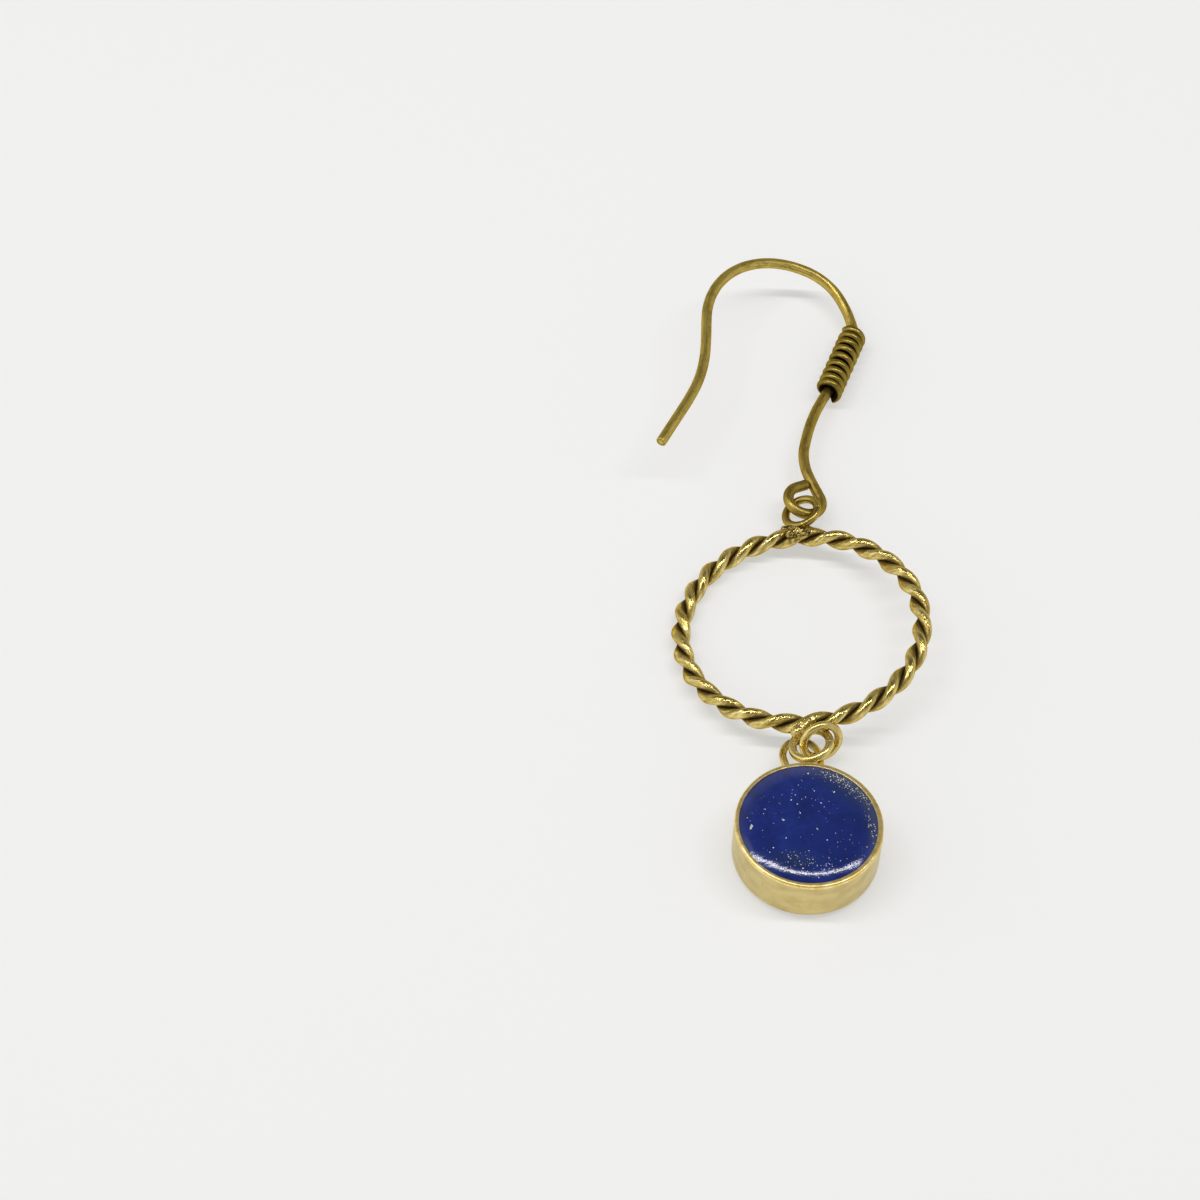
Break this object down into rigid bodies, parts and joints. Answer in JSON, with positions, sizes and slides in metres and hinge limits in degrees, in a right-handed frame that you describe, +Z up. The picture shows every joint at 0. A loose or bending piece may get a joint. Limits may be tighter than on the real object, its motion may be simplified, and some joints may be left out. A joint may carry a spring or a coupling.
{
  "type": "lapis earring",
  "caption": "Drop earring lying flat: bent ear hook with a wound wire coil, a ring of twisted wire, a jump ring, and a round lapis cabochon in a deep setting.",
  "frame": {"origin": "middle of the bounding box on the plane that the earring lies on", "axes": "+Y along the earring from the stone to the top of the hook's arch, +Z up from the surface it lies on, +X to the right as the stone faces up"},
  "size_m": [0.0252, 0.0728, 0.0065],
  "materials": {
    "hook_brass": "aged, satin",
    "hoop_brass": "aged, dark in the grooves",
    "pale_brass": "satin, pale gold",
    "lapis": "polished, deep blue with fine golden flecks"
  },
  "bodies": {
    "root": {"ear_hook": "hook_brass", "wire_coil": "hook_brass", "twisted_hoop": "hoop_brass", "jump_ring": "pale_brass", "bezel_cup": "pale_brass", "lapis_stone": "lapis"}
  },
  "joints": []
}
